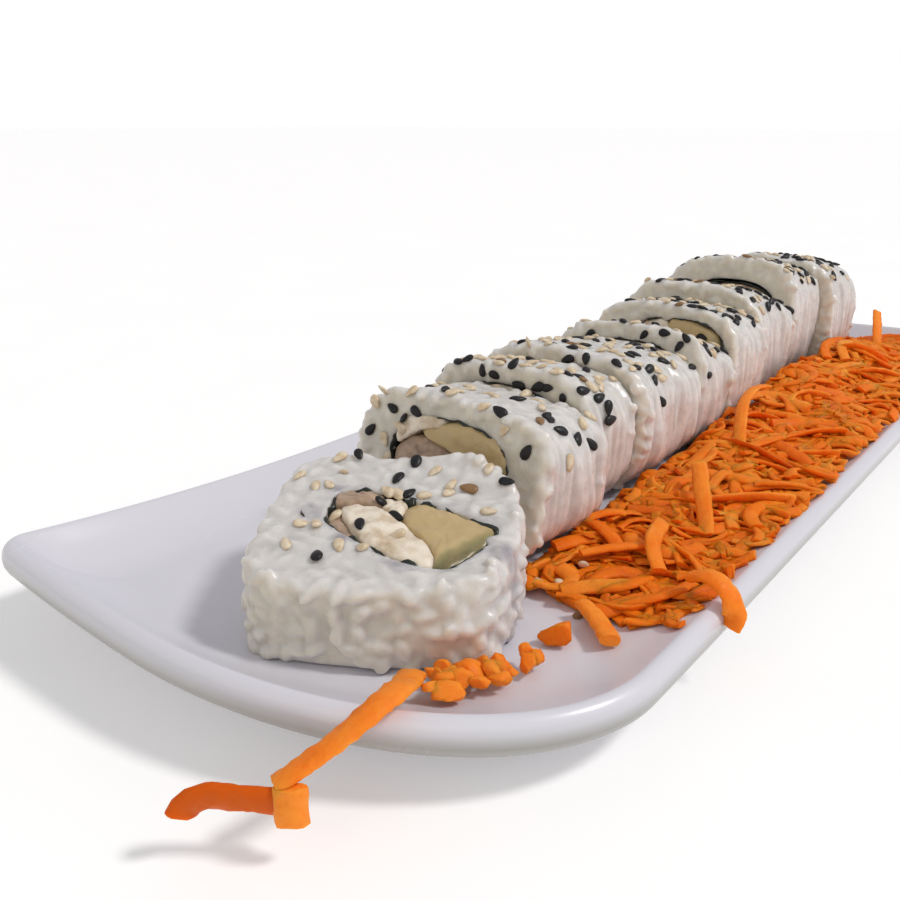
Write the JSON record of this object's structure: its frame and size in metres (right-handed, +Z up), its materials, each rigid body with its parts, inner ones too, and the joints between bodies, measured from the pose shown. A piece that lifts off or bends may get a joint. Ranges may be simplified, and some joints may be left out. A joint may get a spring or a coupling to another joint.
{
  "type": "sushi roll platter",
  "caption": "Oblong white plate with a row of chicken California roll slices, one lying cut face up, sesame seeds and a heap of grated carrot",
  "frame": {"origin": "the middle of the plate's flat foot, on the table", "axes": "+Z up, +Y along the plate from the slice that lies flat to the far end of the row, +X towards the heap of carrot"},
  "size_m": [0.1131, 0.3007, 0.0458],
  "materials": {
    "glaze": "gloss",
    "rice": "satin",
    "nori": "satin",
    "avocado": "satin",
    "cheese": "satin",
    "chicken": "satin",
    "carrot": "satin"
  },
  "bodies": {
    "root": {"plate": "glaze", "rice_1": "rice", "nori_1": "nori", "cheese_1": "cheese", "avocado_1": "avocado", "chicken_1": "chicken", "rice_2": "rice", "nori_2": "nori", "cheese_2": "cheese", "avocado_2": "avocado", "chicken_2": "chicken", "rice_3": "rice", "nori_3": "nori", "cheese_3": "cheese", "avocado_3": "avocado", "chicken_3": "chicken", "rice_4": "rice", "nori_4": "nori", "cheese_4": "cheese", "avocado_4": "avocado", "chicken_4": "chicken", "rice_5": "rice", "nori_5": "nori", "cheese_5": "cheese", "avocado_5": "avocado", "chicken_5": "chicken", "rice_6": "rice", "nori_6": "nori", "cheese_6": "cheese", "avocado_6": "avocado", "chicken_6": "chicken", "rice_7": "rice", "nori_7": "nori", "cheese_7": "cheese", "avocado_7": "avocado", "chicken_7": "chicken", "rice_8": "rice", "nori_8": "nori", "cheese_8": "cheese", "avocado_8": "avocado", "chicken_8": "chicken", "rice_9": "rice", "nori_9": "nori", "cheese_9": "cheese", "avocado_9": "avocado", "chicken_9": "chicken", "carrot_heap": "carrot", "carrot_bits": "carrot", "carrot_chunk": "carrot", "carrot_stick": "carrot", "carrot_long_shred": "carrot", "carrot_rim_shred": "carrot"}
  },
  "joints": []
}
